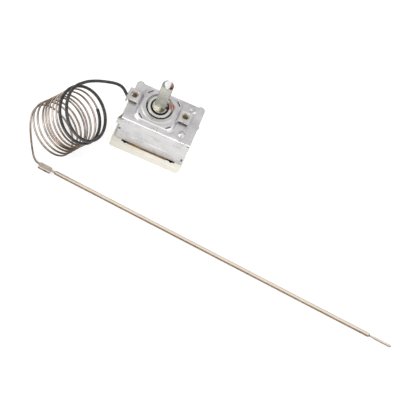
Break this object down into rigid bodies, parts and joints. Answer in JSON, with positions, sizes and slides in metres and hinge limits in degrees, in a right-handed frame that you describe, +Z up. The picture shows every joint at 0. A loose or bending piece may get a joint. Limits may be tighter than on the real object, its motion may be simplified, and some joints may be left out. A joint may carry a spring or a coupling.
{
  "type": "capillary thermostat",
  "caption": "Oven capillary thermostat with a D-shaped control spindle, threaded fixing lugs, ceramic base, push-on terminals, a coiled capillary and a long thin bulb.",
  "frame": {"origin": "where the spindle's axis meets the underside of the ceramic base", "axes": "+Z up along the spindle to its tip, +X along the line of the two fixing holes, -Y towards the lettered apron and the flat of the spindle"},
  "size_m": [0.2161, 0.0797, 0.0538],
  "materials": {
    "zinc_plated_steel": "zinc plated sheet, lightly handled",
    "yellow_passivated_steel": "yellow passivated zinc plate",
    "dark_phenolic": "dark brown moulded phenolic",
    "steatite": "unglazed cream steatite",
    "brown_card": "brown insulating card",
    "rivet_steel": "zinc plated steel",
    "bush_zinc": "die-cast zinc",
    "spindle_zinc": "die-cast zinc, greenish grey",
    "brass": "plain brass",
    "stainless": "plain stainless steel",
    "silver": "silver contact",
    "nickel_plated_brass": "nickel plated",
    "copper": "dull brownish copper",
    "black_sleeve": "black insulating sleeve",
    "nickel_plated_copper": "nickel plated, drawn"
  },
  "bodies": {
    "housing": {"housing_shell": "zinc_plated_steel", "ceramic_base": "steatite", "insulating_card": "brown_card", "guide_block": "dark_phenolic", "carrier_bracket": "yellow_passivated_steel", "plate_rivets": "rivet_steel", "spindle_bush": "bush_zinc", "left_terminal": "nickel_plated_brass", "right_terminal": "nickel_plated_brass", "terminal_rivets": "rivet_steel", "fixed_contact": "silver", "calibration_screw": "brass", "capillary_lead": "black_sleeve", "capillary_coil": "copper", "capillary_tail": "copper", "crimp_ferrule": "stainless", "sensor_bulb": "nickel_plated_copper"},
    "control_spindle": {"spindle": "spindle_zinc", "retaining_washer": "rivet_steel"},
    "diaphragm": {"adjusting_nut": "brass", "diaphragm_capsule": "stainless", "capillary_stub": "copper"},
    "push_pin": {"transmission_pin": "steatite"},
    "blade": {"switch_blade": "stainless", "moving_contact": "silver"}
  },
  "joints": [
    {"name": "spindle_turn", "type": "hinge", "parent": "housing", "child": "control_spindle", "pos_m": [0, 0, 0.03], "axis": [0, 0, 1], "range_deg": [-270, 0]},
    {"name": "nut_travel", "type": "slide", "parent": "housing", "child": "diaphragm", "axis": [0, 0, 1], "range_m": [0, 0.0006]},
    {"name": "pin_travel", "type": "slide", "parent": "housing", "child": "push_pin", "axis": [0, 0, 1], "range_m": [-0.0004, 0], "stiffness_N_per_m": 1000},
    {"name": "blade_flex", "type": "hinge", "parent": "housing", "child": "blade", "pos_m": [-0.0085, 0, 0.0026], "axis": [0, 1, 0], "range_deg": [0, 2.8]}
  ],
  "couplings": [
    {"joint": "spindle_turn", "follows": "nut_travel", "rad_per_m": -7853.9},
    {"joint": "blade_flex", "follows": "pin_travel", "rad_per_m": -117.6}
  ]
}
